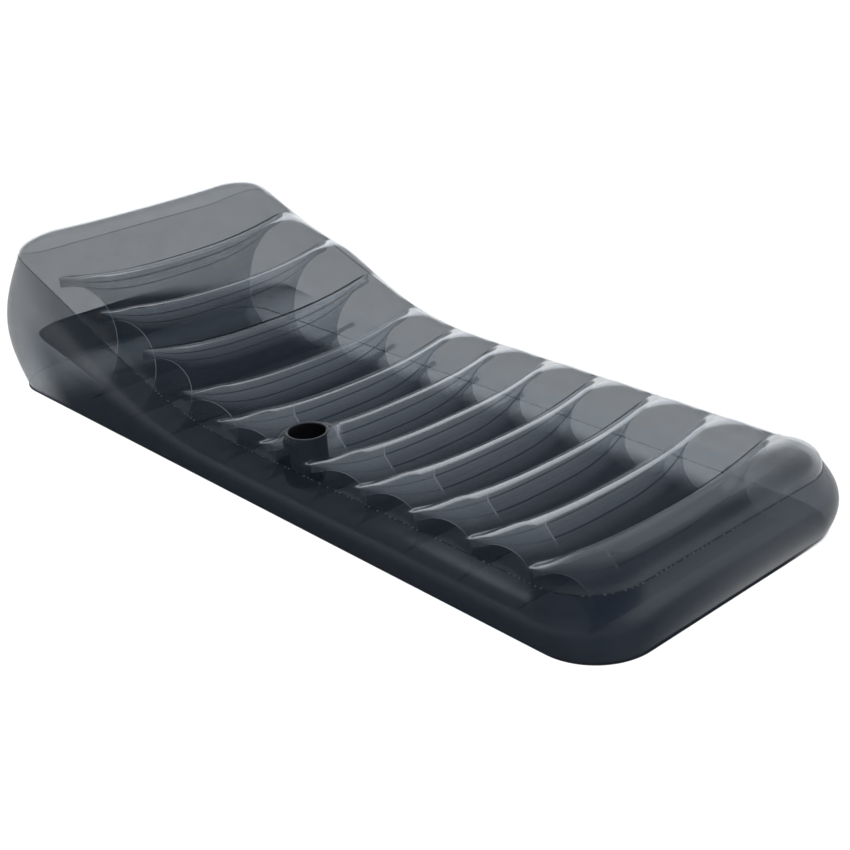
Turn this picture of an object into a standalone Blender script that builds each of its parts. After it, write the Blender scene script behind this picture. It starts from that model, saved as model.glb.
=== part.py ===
# Inflatable pool lounger: smoke tinted sheets welded into a ribbed mat with a raised head end.
# Metres, +Z up. X runs from the head (-X) to the foot (+X), Y across, and the origin is the
# middle of the footprint on the surface that the lounger lies on.

import math

import bmesh
import bpy
from mathutils import Matrix, Vector

# Footprint, at the weld between the side wall and the bottom sheet
base_length = 1.80
base_width = 0.663
base_corner_radius = 0.11
bottom_weld_margin = 0.003

# Sheets
sheet_thickness = 0.0005
gap = 0.0003

# Outline of the top sheet, where it is welded to the side wall
top_foot_inset = 0.015
top_head_inset = 0.055
top_corner_radius = 0.115

# Height of that weld: level over the seat, then rising along the back
seat_height = 0.113
back_slope_share = 0.358
bend_x = -0.176
bend_half_length = 0.17
head_peak_x = -0.74
head_drop = 0.06

# Cross welds that make the ribs, counted from the foot
first_weld_from_foot = 0.163
seat_pitch = 0.137
bend_pitch = 0.130
back_pitch = 0.144
head_pitch = 0.160
weld_end_margin = 0.0315

# Rise of the top sheet over its edge weld
tip_lift = 0.009
back_tip_lift = 0.026
back_tip_x = -0.41
back_tip_spread = 0.13
rib_height = 0.026
pillow_extra_height = 0.003
shoulder_width = 0.045
pillow_shoulder_width = 0.09
rib_end_length = 0.10
rib_end_turn_share = 1.33
rib_end_rise = 0.006
weld_cradle_depth = 0.033
crest_cradle_depth = 0.024
cradle_power_share = 2.5

# Side wall
side_bulge = 0.030
foot_bulge = 0.021
head_bulge = 0.045
wall_row_shares = (0.0, 0.10, 0.28, 0.53, 0.76, 0.91, 1.0)

# Top sheet mesh
inner_column_share = 0.30
cell_steps = 4
end_cell_steps = 6

# Webs that hold the top sheet down to the bottom sheet at the cross welds
web_tab_length = 0.032
web_tab_depth = 0.022
web_foot_margin = 0.0595
web_cut_depth = 0.045
web_cut_share = 0.15
web_lean_share = 0.5
upright_webs = 3
web_arc_steps = 10

# Cup holder, in the rib between two welds of the seat
cup_rib = 5
cup_from_side = 0.0865
cup_toward_head = 0.008
cup_radius = 0.035
cup_depth = 0.075
cup_height_over_seam = 0.026
cup_flat_half_length = 0.047
cup_flat_half_width = 0.0565
cup_wall = 0.0008
cup_ring_width = 0.005
cup_ring_thickness = 0.0012
cup_steps = 32

# Inflation valve, low on the head end of the side wall
valve_y = 0.10
valve_wall_row = 4
valve_flange_radius = 0.0145
valve_flange_thickness = 0.0010
valve_collar_radius = 0.0090
valve_collar_wall = 0.0012
valve_collar_depth = 0.006
stem_wall = 0.0018
stem_length = 0.017
stem_lip_width = 0.0016
stem_lip_thickness = 0.0012
plug_depth = 0.009
plug_cap_overhang = 0.0012
plug_cap_thickness = 0.0016
plug_tab_length = 0.010
plug_tab_width = 0.006
flap_thickness = 0.0008
flap_overlap = 0.0009
valve_steps = 32
cut_overrun = 0.01

half_length = base_length / 2
half_width = base_width / 2
top_foot_x = half_length - top_foot_inset
top_head_x = -half_length + top_head_inset
pitches = [seat_pitch] * 6 + [bend_pitch] * 2 + [back_pitch, head_pitch]
weld_xs = [half_length - first_weld_from_foot]
for pitch in pitches:
    weld_xs.append(weld_xs[-1] - pitch)
weld_tip_y = half_width - weld_end_margin
cup_x = (weld_xs[cup_rib - 1] + weld_xs[cup_rib]) / 2 - cup_toward_head
cup_y = -half_width + cup_from_side


def clear_scene():
    for item in list(bpy.data.objects):
        bpy.data.objects.remove(item, do_unlink=True)


def make_material(name, colour, roughness, alpha=1.0):
    material = bpy.data.materials.new(name)
    material.use_nodes = True
    shader = material.node_tree.nodes["Principled BSDF"]
    shader.inputs["Base Color"].default_value = (*colour, 1.0)
    shader.inputs["Roughness"].default_value = roughness
    shader.inputs["Metallic"].default_value = 0.0
    shader.inputs["Alpha"].default_value = alpha
    return material


def make_object(name, mesh, material, smooth=True):
    item = bpy.data.objects.new(name, mesh)
    bpy.context.scene.collection.objects.link(item)
    mesh.materials.append(material)
    if smooth:
        mesh.shade_smooth()
        mesh.set_sharp_from_angle(angle=math.radians(40))
    return item


def mesh_from_rows(name, rows, closed=False, flip=False):
    """A surface through rows of points; closed joins the ends of each row."""
    mesh = bpy.data.meshes.new(name)
    form = bmesh.new()
    made = [[form.verts.new(point) for point in row] for row in rows]
    count = len(rows[0])
    for upper, lower in zip(made, made[1:]):
        for k in range(count if closed else count - 1):
            corner = [upper[k], upper[(k + 1) % count], lower[(k + 1) % count], lower[k]]
            form.faces.new(corner[::-1] if flip else corner)
    form.to_mesh(mesh)
    form.free()
    return mesh


def add_thickness(item, thickness):
    solid = item.modifiers.new("Sheet", "SOLIDIFY")
    solid.thickness = thickness
    solid.offset = -1.0
    solid.use_even_offset = False


def cut_with(item, cutter):
    cutter.hide_render = True
    cutter.display_type = "WIRE"
    cut = item.modifiers.new("Cut", "BOOLEAN")
    cut.operation = "DIFFERENCE"
    cut.solver = "EXACT"
    cut.object = cutter


def edge_half_width(x, foot_x, head_x, radius):
    """Half width of a rounded rectangle at x."""
    inner = half_width - radius
    over = max(x - (foot_x - radius), (head_x + radius) - x, 0.0)
    return inner + math.sqrt(max(radius * radius - over * over, 0.0))


def edge_distance(x, y):
    """Distance inward from the edge of the top sheet."""
    middle = (top_foot_x + top_head_x) / 2
    reach = (top_foot_x - top_head_x) / 2
    over_x = abs(x - middle) - (reach - top_corner_radius)
    over_y = abs(y) - (half_width - top_corner_radius)
    outside = math.hypot(max(over_x, 0.0), max(over_y, 0.0)) + min(max(over_x, over_y), 0.0)
    return max(top_corner_radius - outside, 0.0)


def seam_height(x):
    """Height of the weld between the top sheet and the side wall."""
    along = bend_x - x
    if along <= -bend_half_length:
        rise = 0.0
    elif along < bend_half_length:
        rise = back_slope_share * (along + bend_half_length) ** 2 / (4 * bend_half_length)
    else:
        rise = back_slope_share * along
    past = max(head_peak_x - x, 0.0) / (head_peak_x - top_head_x)
    return seat_height + rise - head_drop * past * past


def shoulder(x, y):
    """0 at the edge weld, 1 past the rounded shoulder."""
    toward_head = min(max((weld_xs[-2] - x) / (weld_xs[-2] - top_head_x), 0.0), 1.0)
    width = shoulder_width + (pillow_shoulder_width - shoulder_width) * toward_head
    share = min(edge_distance(x, y) / width, 1.0)
    return math.sqrt(1.0 - (1.0 - share) ** 2)


def rib_end(x, y):
    """How much of a rib stands at y: it falls off past a fold near each end."""
    share = min((top_edge_width(x) - abs(y)) / rib_end_length, 1.0)
    return math.sin(max(share, 0.0) * rib_end_turn_share) / math.sin(rib_end_turn_share)


def lift_at(x):
    bump = math.exp(-((x - back_tip_x) / back_tip_spread) ** 2)
    return tip_lift + back_tip_lift * bump


def rib_profile(x):
    """0 on a cross weld, 1 on a rib's crest, and how far an end cell has run to the edge."""
    if x >= weld_xs[0]:
        run = (x - weld_xs[0]) / (top_foot_x - weld_xs[0])
        return 1.0 - max(1.0 - 2.0 * run, 0.0) ** 2, run
    if x <= weld_xs[-1]:
        run = (weld_xs[-1] - x) / (weld_xs[-1] - top_head_x)
        return 1.0 - max(1.0 - 2.0 * run, 0.0) ** 2, run
    for foot_side, head_side in zip(weld_xs, weld_xs[1:]):
        if head_side <= x <= foot_side:
            run = (x - head_side) / (foot_side - head_side)
            return 1.0 - (2.0 * run - 1.0) ** 2, 0.0


def top_height(x, y):
    """Height of the top sheet's outer face."""
    profile, end_run = rib_profile(x)
    round_edge = shoulder(x, y)
    across = min(abs(y) / weld_tip_y, 1.0)
    cradle = (1.0 - across ** cradle_power_share) * (1.0 - end_run)
    pillow = pillow_extra_height * math.sin(math.pi * end_run) if x < weld_xs[-1] else 0.0
    weld = lift_at(x) * round_edge - weld_cradle_depth * cradle
    fall = rib_end(x, y) * (1.0 - end_run) + round_edge * end_run
    rib = (rib_height + pillow + rib_end_rise * across * across * (1.0 - end_run)) * fall
    rib += (weld_cradle_depth - crest_cradle_depth) * cradle
    past_tip = max(abs(y) - weld_tip_y, 0.0) / (half_width - weld_tip_y)
    height = seam_height(x) + weld + rib * (profile + (1.0 - profile) * past_tip)
    if abs(x - cup_x) < cup_flat_half_length + gap and abs(y - cup_y) < cup_flat_half_width + gap:
        height = seat_height + cup_height_over_seam
    return height


def sheet_stations():
    """Places along X where the sheets have a row of points, foot to head."""
    foot_run = top_foot_x - weld_xs[0]
    head_run = weld_xs[-1] - top_head_x
    turns = [math.pi / 2 * k / end_cell_steps for k in range(end_cell_steps + 1)]
    stations = [weld_xs[0] + foot_run * math.sin(turn) for turn in reversed(turns)]
    for number, (foot_side, head_side) in enumerate(zip(weld_xs, weld_xs[1:]), start=1):
        if number == cup_rib:
            stations += [cup_x + cup_flat_half_length, cup_x, cup_x - cup_flat_half_length]
        else:
            steps = range(1, cell_steps)
            stations += [foot_side + (head_side - foot_side) * k / cell_steps for k in steps]
        stations.append(head_side)
    stations += [weld_xs[-1] - head_run * math.sin(turn) for turn in turns[1:]]
    return stations


def sheet_columns():
    shares = [0.0, inner_column_share]
    for across in (-cup_flat_half_width, 0.0, cup_flat_half_width):
        shares.append((across - cup_y) / half_width)
    shares.append(1.0)
    return [-share for share in reversed(shares[1:])] + shares


def top_edge_width(x):
    return edge_half_width(x, top_foot_x, top_head_x, top_corner_radius)


def build_top_sheet(material):
    rows = []
    for x in sheet_stations():
        width = top_edge_width(x)
        rows.append([(x, width * share, top_height(x, width * share)) for share in sheet_columns()])
    item = make_object("top_sheet", mesh_from_rows("top_sheet", rows), material)
    add_thickness(item, sheet_thickness)
    cutter_radius = cup_radius + cup_wall + gap
    cutter = make_cylinder("cup_cutter", cutter_radius, cup_depth, cup_steps, material)
    cutter.location = (cup_x, cup_y, seat_height)
    cut_with(item, cutter)
    return item


def wall_columns():
    """Top edge point, foot edge point and outward direction for each column of the wall."""
    loop = []
    stations = sheet_stations()
    shares = sheet_columns()
    for x in stations:
        loop.append((x, -1.0))
    for share in shares[1:-1]:
        loop.append((top_head_x, share))
    for x in reversed(stations):
        loop.append((x, 1.0))
    for share in reversed(shares[1:-1]):
        loop.append((top_foot_x, share))
    columns = []
    for x, share in loop:
        along = (x - top_head_x) / (top_foot_x - top_head_x)
        base_x = -half_length + base_length * along
        base_y = share * edge_half_width(base_x, half_length, -half_length, base_corner_radius)
        top_y = share * top_edge_width(x)
        centre_x = min(max(base_x, -half_length + base_corner_radius), half_length - base_corner_radius)
        inner_width = half_width - base_corner_radius
        centre_y = min(max(base_y, -inner_width), inner_width)
        outward = Vector((base_x - centre_x, base_y - centre_y, 0.0))
        columns.append((Vector((x, top_y, seam_height(x))), Vector((base_x, base_y, 0.0)), outward.normalized()))
    return columns


def wall_point(column, share):
    top, foot, outward = column
    start_z = top.z - sheet_thickness - gap
    end_z = 2 * sheet_thickness + gap
    end_bulge = head_bulge if outward.x < 0 else foot_bulge
    bulge = side_bulge + (end_bulge - side_bulge) * abs(outward.x)
    point = top.lerp(foot, share) + outward * (bulge * math.sin(math.pi * share))
    point.z = start_z + (end_z - start_z) * share
    return point


def build_side_wall(material, frame):
    columns = wall_columns()
    rows = [[wall_point(column, share) for column in columns] for share in wall_row_shares]
    mesh = mesh_from_rows("side_wall", rows, closed=True, flip=True)
    item = make_object("side_wall", mesh, material)
    add_thickness(item, sheet_thickness)
    radius = valve_collar_radius + gap
    cutter = make_cylinder("valve_cutter", radius, cut_overrun, valve_steps, material)
    cutter.matrix_world = frame
    cut_with(item, cutter)
    return item


def build_bottom_sheet(material):
    mesh = bpy.data.meshes.new("bottom_sheet")
    form = bmesh.new()
    points = []
    for column in wall_columns():
        points.append(column[1] + column[2] * bottom_weld_margin)
    lower = form.faces.new([form.verts.new(point) for point in reversed(points)])
    raised = bmesh.ops.extrude_face_region(form, geom=[lower])
    moved = [part for part in raised["geom"] if isinstance(part, bmesh.types.BMVert)]
    bmesh.ops.translate(form, verts=moved, vec=(0.0, 0.0, sheet_thickness))
    bmesh.ops.recalc_face_normals(form, faces=form.faces)
    form.to_mesh(mesh)
    form.free()
    return make_object("bottom_sheet", mesh, material, smooth=False)


def web_outline(x):
    """Outline of a web in its own plane, as points across and up."""
    drop = sheet_thickness + 2 * gap
    width = top_edge_width(x)
    top = []
    for share in sheet_columns()[1:-1]:
        across = max(min(width * share, weld_tip_y), -weld_tip_y)
        top.append((across, top_height(x, width * share) - drop))
    tip_y, tip_z = top[-1]
    foot_z = sheet_thickness + gap
    neck_y = tip_y - web_tab_length
    neck_z = tip_z - web_tab_depth
    middle_z = (neck_z + foot_z) / 2
    cut_height = (neck_z - foot_z) / 2
    cut_depth = web_cut_depth + web_cut_share * 2 * cut_height
    side = [(tip_y, neck_z)]
    for k in range(web_arc_steps + 1):
        angle = math.pi * k / web_arc_steps
        base_y = neck_y + (half_width - web_foot_margin - neck_y) * k / web_arc_steps
        side.append((base_y - cut_depth * math.sin(angle), middle_z + cut_height * math.cos(angle)))
    far_side = [(-across, up) for across, up in reversed(side)]
    return top + side + far_side


def lean_toward_foot(form, x, lean):
    """A seat web leans: its foot is welded half a rib nearer the foot end than its top."""
    for vert in form.verts:
        head_z = top_height(x, vert.co.y) - sheet_thickness
        vert.co.x += lean * max(1.0 - vert.co.z / head_z, 0.0)


def build_webs(material):
    webs = []
    leans = [pitch * web_lean_share for pitch in [seat_pitch] + pitches[:-upright_webs]]
    leans += [0.0] * upright_webs
    for number, x in enumerate(weld_xs, start=1):
        name = f"i_beam_{number:02d}"
        mesh = bpy.data.meshes.new(name)
        form = bmesh.new()
        outline = web_outline(x)
        front = x - sheet_thickness / 2
        face = form.faces.new([form.verts.new((front, across, up)) for across, up in outline])
        raised = bmesh.ops.extrude_face_region(form, geom=[face])
        moved = [part for part in raised["geom"] if isinstance(part, bmesh.types.BMVert)]
        bmesh.ops.translate(form, verts=moved, vec=(sheet_thickness, 0.0, 0.0))
        lean_toward_foot(form, x, leans[number - 1])
        bmesh.ops.recalc_face_normals(form, faces=form.faces)
        if form.calc_volume(signed=True) < 0.0:
            bmesh.ops.reverse_faces(form, faces=form.faces)
        form.to_mesh(mesh)
        form.free()
        webs.append(make_object(name, mesh, material, smooth=False))
    return webs


def make_cylinder(name, radius, half_height, steps, material):
    mesh = bpy.data.meshes.new(name)
    form = bmesh.new()
    bmesh.ops.create_cone(
        form, cap_ends=True, segments=steps, radius1=radius, radius2=radius, depth=2 * half_height
    )
    form.to_mesh(mesh)
    form.free()
    return make_object(name, mesh, material, smooth=False)


def turn_profile(name, profile, steps, material):
    """A closed ring profile of (radius, height) points turned round Z."""
    rings = []
    for k in range(steps):
        angle = 2 * math.pi * k / steps
        rings.append([(r * math.cos(angle), r * math.sin(angle), z) for r, z in profile])
    mesh = bpy.data.meshes.new(name)
    form = bmesh.new()
    made = []
    for ring in rings:
        made.append([form.verts.new(point) for point in ring])
    count = len(profile)
    for k in range(steps):
        here, there = made[k], made[(k + 1) % steps]
        for n in range(count):
            m = (n + 1) % count
            form.faces.new([here[n], there[n], there[m], here[m]])
    bmesh.ops.remove_doubles(form, verts=form.verts, dist=gap / 10)
    bmesh.ops.recalc_face_normals(form, faces=form.faces)
    form.to_mesh(mesh)
    form.free()
    return make_object(name, mesh, material)


def build_cup(cup_material, ring_material):
    rim_z = seat_height + cup_height_over_seam + gap
    inner = cup_radius
    outer = cup_radius + cup_wall
    ring_outer = outer + cup_ring_width
    cup_profile = [
        (0.0, rim_z - cup_depth), (outer, rim_z - cup_depth), (outer, rim_z),
        (inner, rim_z), (inner, rim_z - cup_depth + cup_wall), (0.0, rim_z - cup_depth + cup_wall),
    ]
    cup = turn_profile("cup_holder", cup_profile, cup_steps, cup_material)
    ring_profile = [
        (outer + gap, rim_z), (ring_outer, rim_z),
        (ring_outer, rim_z + cup_ring_thickness), (outer + gap, rim_z + cup_ring_thickness),
    ]
    ring = turn_profile("cup_ring", ring_profile, cup_steps, ring_material)
    for item in (cup, ring):
        item.location = (cup_x, cup_y, 0.0)
    return [cup, ring]


def valve_frame(y):
    """Frame on the head wall: Z outward along the valve's axis, Y up the wall."""
    across = min(wall_columns(), key=lambda column: (column[0] - Vector((top_head_x, 0.0, column[0].z))).length)
    upper = wall_point(across, wall_row_shares[valve_wall_row])
    lower = wall_point(across, wall_row_shares[valve_wall_row + 1])
    up_wall = (upper - lower).normalized()
    sideways = Vector((0.0, 1.0, 0.0))
    outward = up_wall.cross(sideways).normalized()
    if outward.x > 0:
        outward = -outward
    middle = (upper + lower) / 2
    middle.y = y
    turn = Matrix((up_wall.cross(outward), up_wall, outward)).transposed()
    return Matrix.Translation(middle) @ turn.to_4x4()


def build_valve(frame, base_material, plug_material):
    collar_inner = valve_collar_radius - valve_collar_wall
    stem_outer = collar_inner - gap
    bore = stem_outer - stem_wall
    flange_z = 2 * gap
    flange_top = flange_z + valve_flange_thickness
    base = turn_profile("valve_base", [
        (valve_collar_radius, -valve_collar_depth), (valve_collar_radius, flange_z),
        (valve_flange_radius, flange_z), (valve_flange_radius, flange_top),
        (collar_inner, flange_top), (collar_inner, -valve_collar_depth),
    ], valve_steps, base_material)
    lip_z = flange_top + gap
    stem_top = lip_z + stem_lip_thickness
    stem_bottom = stem_top - stem_length
    lip_radius = valve_collar_radius + stem_lip_width
    stem = turn_profile("valve_stem", [
        (stem_outer, stem_bottom), (stem_outer, lip_z), (lip_radius, lip_z),
        (lip_radius, stem_top), (bore, stem_top), (bore, stem_bottom),
    ], valve_steps, base_material)
    plug_z = stem_top + gap
    plug_top = plug_z + plug_cap_thickness
    plug_radius = bore - gap
    cap_radius = lip_radius + plug_cap_overhang
    plug = turn_profile("valve_plug", [
        (0.0, stem_top - plug_depth), (plug_radius, stem_top - plug_depth), (plug_radius, plug_z),
        (cap_radius, plug_z), (cap_radius, plug_top), (0.0, plug_top),
    ], valve_steps, plug_material)
    add_pull_tab(plug, cap_radius, plug_z, plug_top)
    flap_radius = bore + flap_overlap
    flap_top = stem_bottom - gap
    flap = turn_profile("valve_flap", [
        (0.0, flap_top - flap_thickness), (flap_radius, flap_top - flap_thickness),
        (flap_radius, flap_top), (0.0, flap_top),
    ], valve_steps, plug_material)
    for item in (base, stem, plug):
        item.matrix_world = frame
    hinge = Matrix.Translation((0.0, flap_radius, flap_top))
    flap.data.transform(hinge.inverted())
    flap.matrix_world = frame @ hinge
    return [base, stem, plug, flap]


def add_pull_tab(plug, cap_radius, low, high):
    """A flat finger tab moulded on the rim of the plug's cap."""
    reach = plug_tab_length / 2
    size = Matrix.Diagonal((plug_tab_width, plug_tab_length, (high - low) / 2, 1.0))
    place = Matrix.Translation((0.0, -cap_radius - reach + 4 * gap, (low + high) / 2))
    tab = bpy.data.meshes.new(plug.name + "_tab")
    form = bmesh.new()
    bmesh.ops.create_cube(form, size=1.0)
    bmesh.ops.transform(form, matrix=place @ size, verts=form.verts)
    form.to_mesh(tab)
    form.free()
    tool = bpy.data.objects.new(plug.name + "_tab", tab)
    bpy.context.scene.collection.objects.link(tool)
    tool.parent = plug
    tool.hide_render = True
    tool.display_type = "WIRE"
    join = plug.modifiers.new("Tab", "BOOLEAN")
    join.operation = "UNION"
    join.solver = "EXACT"
    join.object = tool


def build():
    clear_scene()
    smoke = make_material("smoke_vinyl", (0.055, 0.060, 0.068), 0.12, 0.6)
    web = make_material("web_vinyl", (0.075, 0.080, 0.088), 0.2, 0.4)
    black = make_material("black_vinyl", (0.012, 0.013, 0.016), 0.3)
    valve = make_material("valve_vinyl", (0.04, 0.042, 0.046), 0.35)
    frame = valve_frame(valve_y)
    build_bottom_sheet(smoke)
    build_side_wall(smoke, frame)
    build_top_sheet(smoke)
    build_webs(web)
    build_cup(black, valve)
    build_valve(frame, valve, black)
    move_to_middle()


def move_to_middle():
    """Put the middle of the footprint, bulges included, at the origin."""
    reach = [wall_point(column, wall_row_shares[3]).x for column in wall_columns()]
    shift = Matrix.Translation((-(max(reach) + min(reach)) / 2, 0.0, 0.0))
    bpy.context.view_layer.update()
    for item in bpy.data.objects:
        if item.parent is None:
            item.matrix_world = shift @ item.matrix_world


build()
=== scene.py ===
# The looks of an inflatable pool lounger: clear smoke vinyl, blown up tight, with a black cup
# holder and an air valve. Metres, +Z up, +X towards the foot end.
import math

import bmesh
import bpy
from mathutils import Matrix, Vector


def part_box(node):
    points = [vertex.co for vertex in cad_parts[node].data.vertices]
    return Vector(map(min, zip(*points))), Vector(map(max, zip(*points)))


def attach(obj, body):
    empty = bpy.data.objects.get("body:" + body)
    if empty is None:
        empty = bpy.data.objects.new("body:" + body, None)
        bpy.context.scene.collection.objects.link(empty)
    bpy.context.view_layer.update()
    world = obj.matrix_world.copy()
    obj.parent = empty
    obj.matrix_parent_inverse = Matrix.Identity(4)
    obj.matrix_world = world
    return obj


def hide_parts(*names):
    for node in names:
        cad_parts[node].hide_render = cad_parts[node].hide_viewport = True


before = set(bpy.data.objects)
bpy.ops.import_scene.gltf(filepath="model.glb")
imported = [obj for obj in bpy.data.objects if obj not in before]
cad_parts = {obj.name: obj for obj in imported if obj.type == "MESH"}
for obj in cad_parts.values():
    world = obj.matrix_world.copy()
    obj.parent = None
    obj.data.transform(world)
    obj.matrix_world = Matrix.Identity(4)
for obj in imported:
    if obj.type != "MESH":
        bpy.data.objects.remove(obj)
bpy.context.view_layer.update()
bpy.context.scene.view_settings.view_transform = "Standard"

# The lounger's outline, in metres from the middle of its bottom weld
body = {
    "baseLength": 1.80,
    "baseWidth": 0.663,
    "baseCorner": 0.11,
    "baseZ": 0.0005,
    "footInset": 0.015,
    "headInset": 0.055,
    "topCorner": 0.115,
    "seatHeight": 0.113,
    "backSlope": 0.358,
    "bendX": -0.176,
    "bendHalf": 0.17,
    "headPeakX": -0.74,
    "headDrop": 0.06,
    "sideBulge": 0.030,
    "footBulge": 0.021,
    "headBulge": 0.045,
}

# The top sheet's air ribs, which lie between cross welds counted from the foot end
ribs = {
    "firstFromFoot": 0.163,
    "pitches": [0.137] * 6 + [0.130] * 2 + [0.144, 0.160],
    "endMargin": 0.0315,
    "tipLift": 0.009,
    "backTipLift": 0.026,
    "backTipX": -0.41,
    "backTipSpread": 0.13,
    "height": 0.026,
    "pillowHeight": 0.003,
    "shoulder": 0.045,
    "pillowShoulder": 0.09,
    "endLength": 0.10,
    "endTurn": 1.33,
    "endRise": 0.006,
    "weldCradle": 0.033,
    "crestCradle": 0.024,
    "cradlePower": 2.5,
}

# The upright sheets inside, which hold the top and bottom sheets together
web = {
    "tabLength": 0.032,
    "tabDepth": 0.022,
    "tabLeast": 0.004,
    "tabRows": 3,
    "footHalfWidth": 0.272,
    "footZ": 0.0009,
    "underTop": 0.0006,
    "underNeck": 0.0002,
    "cutDepth": 0.045,
    "cutShare": 0.15,
    "leanShare": 0.5,
    "upright": 3,
}

cup = {
    "rib": 5,
    "fromSide": 0.0865,
    "towardHead": 0.008,
    "radius": 0.035,
    "depth": 0.075,
    "overSeam": 0.026,
    "flatRadius": 0.046,
    "blend": 0.020,
    "wall": 0.0008,
    "corner": 0.006,
    "cornerSteps": 5,
    "innerFloor": 0.007,
    "gap": 0.0003,
    "holeGap": 0.0012,
    "ringWidth": 0.005,
    "ringThickness": 0.0012,
    "ringBevel": (0.0006, 0.0004),
    "steps": 96,
}

seams = {
    "topWidth": 0.0020,
    "bottomWidth": 0.0034,
    "thickness": 0.0008,
    "inset": 0.0004,
    "lowest": 0.0001,
}

valve = {
    "holeRadius": 0.0094,
}

# How many faces each grid gets, and how much closer they lie at its ends and sides
mesh = {
    "alongX": 276,
    "across": 96,
    "bottomAcross": 48,
    "wallRows": 28,
    "webAcross": 96,
    "webRows": 16,
    "endShare": 0.09,
    "sideCrowding": 0.28,
}

# The air-filled sheets' vinyl. Their densities, set place by place on each sheet, hold painted
# light and shade. The shadow values say where the head's film throws a deep shadow.
film = {
    "tint": (0.006, 0.009, 0.014, 1),
    "weldTint": (0.003, 0.004, 0.006, 1),
    "through": (0.955, 0.978, 1.0, 1),
    "topAlpha": 0.52,
    "footAlpha": 0.80,
    "wallAlpha": 0.80,
    "headWallAlpha": 0.58,
    "bottomAlpha": 0.78,
    "farAlpha": 0.34,
    "weldAlpha": 0.90,
    "weldHalfWidth": 0.0024,
    "weldTipLength": 0.030,
    "weldTipTaper": 0.1,
    "roughness": 0.16,
    "dullRoughness": 0.4,
    "ior": 1.5,
    "topSpecular": 0.5,
    "wallSpecular": 0.0,
    "coatRoughness": 0.06,
    "wallCoatRoughness": 0.20,
    "grazePower": 5.0,
    "cupGloss": 0.3,
    "footDull": 0.95,
    "wallGloss": 0.7,
    "hazeScale": 25.0,
    "hazeAlpha": 0.05,
    "hazeRoughness": 0.08,
    "waveScale": 9.0,
    "waveStrength": 0.5,
    "waveHeight": 0.004,
    "shadowDepth": 0.85,
    "shadowCorner": (-0.845, -0.16),
    "shadowSlope": 0.52,
}

# The webs' vinyl, with its pale rims, a painted highlight along the cut edges, the folds that hang
# below the top sheet, painted light that makes the upper web paler, and the painted sheen, the
# lighter near ends past a set y
webFilm = {
    "tint": (0.010, 0.014, 0.020, 1),
    "rimHighlight": (0.36, 0.39, 0.43, 1),
    "litTint": (0.33, 0.36, 0.40, 1),
    "litDepth": 3.0,
    "alpha": 0.42,
    "roughness": 0.18,
    "rimAlpha": 0.55,
    "rimWidth": 0.0018,
    "rimLight": 0.9,
    "paintedSheenY": 0.128,
    "paintedSheenWebs": 7,
    "paintedSheenEdgeLight": 0.7,
    "paintedSheenLight": 0.2,
    "foldDepth": 0.020,
    "foldLeast": 0.0005,
    "foldPower": 4,
    "foldAlpha": 0.74,
    "foldShade": 0.85,
    "firstFold": 0.07,
    "secondFold": 0.06,
}

# Vinyl that lets no light through. Each roughness is the lowest, to which grain adds its share.
opaque = {
    "black": (0.002, 0.002, 0.003, 1),
    "blackRoughness": 0.38,
    "ring": (0.012, 0.014, 0.018, 1),
    "ringRoughness": 0.23,
    "valve": (0.05, 0.053, 0.058, 1),
    "valveRoughness": 0.33,
    "cupOutside": (0.007, 0.009, 0.012, 1),
    "cupInsideShade": (0.0015, 0.0015, 0.002, 1),
    "cupRoughness": 0.35,
    "grainScale": 300.0,
    "grainDetail": 4.0,
    "grainRoughness": 0.15,
    "grainBump": 0.15,
    "grainHeight": 0.0004,
    "paleScale": 1.5,
    "paleLift": 0.004,
}

seamVinyl = {
    "bottomDark": (0.008, 0.009, 0.011, 1),
    "bottomPale": (0.014, 0.016, 0.019, 1),
    "bottomRoughness": 0.4,
    "bottomFarFade": 0.91,
    "topDark": (0.010, 0.012, 0.015, 1),
    "topPale": (0.06, 0.066, 0.075, 1),
    "topRoughness": 0.3,
    "topAlpha": 0.4,
    "dashLength": 0.011,
    "dashShare": 0.40,
    "dashRoughness": 0.1,
    "dashAlpha": 0.35,
    "wornScale": 60.0,
    "wornShare": 0.5,
}

# Where the looks change over a piece: where each change starts and where it is complete, in
# metres along the axis that the name ends in. Slant is across the head, from the shadow's corner,
# Cup is from the cup's middle, and Share is a share of the wall's height.
fades = {
    "airX": (-0.66, -0.48),
    "airSlant": (-0.02, 0.08),
    "topFootX": (0.757, 0.792),
    "topFootY": (0.18, 0.30),
    "topCup": (0.045, 0.085),
    "wallHeadX": (-0.80, -0.60),
    "wallFootX": (0.80, 0.88),
    "wallFootY": (-0.34, 0.10),
    "wallFarX": (0.66, 0.82),
    "wallFarY": (0.10, 0.25),
    "wallUpperShare": (0.45, 0.80),
    "bottomHeadX": (-0.88, -0.62),
    "bottomFarX": (0.66, 0.80),
    "bottomFarY": (0.23, 0.31),
    "webSheenZ": (0.035, 0.065),
    "webUpperZ": (0.03, 0.075),
    "seamHeadX": (-0.87, -0.80),
    "seamFarY": (0.05, 0.25),
}

# The key is a small sun and the softbox lights the side wall alone. The world is a studio whose
# levels say how bright it is from below, 0, to overhead, 1.
studio = {
    "floorColour": (0.97, 0.97, 0.97, 1),
    "floorRoughness": 0.9,
    "floorSize": 40.0,
    "floorZ": -0.0003,
    "keyFrom": (1.06, -0.56, 1.0),
    "keyStrength": 5.3,
    "keySpread": 0.5,
    "boxFrom": (-0.82, -1.88, 1.12),
    "boxTo": (0.68, -0.345, 0.098),
    "boxSize": (0.42, 0.26),
    "boxColour": (0.86, 0.93, 1.0),
    "boxPower": 1.35,
    "frontShare": 0.10,
    "frontY": (-0.35, 0.25),
    "fillShare": 0.35,
    "horizon": (1.55, 1.63, 1.73, 1),
    "middle": (0.20, 0.21, 0.22, 1),
    "overhead": (0.05, 0.05, 0.05, 1),
    "levels": [
        (0.0, "horizon"),
        (0.335, "horizon"),
        (0.40, "middle"),
        (0.66, "overhead"),
        (1.0, "overhead"),
    ],
}

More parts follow.
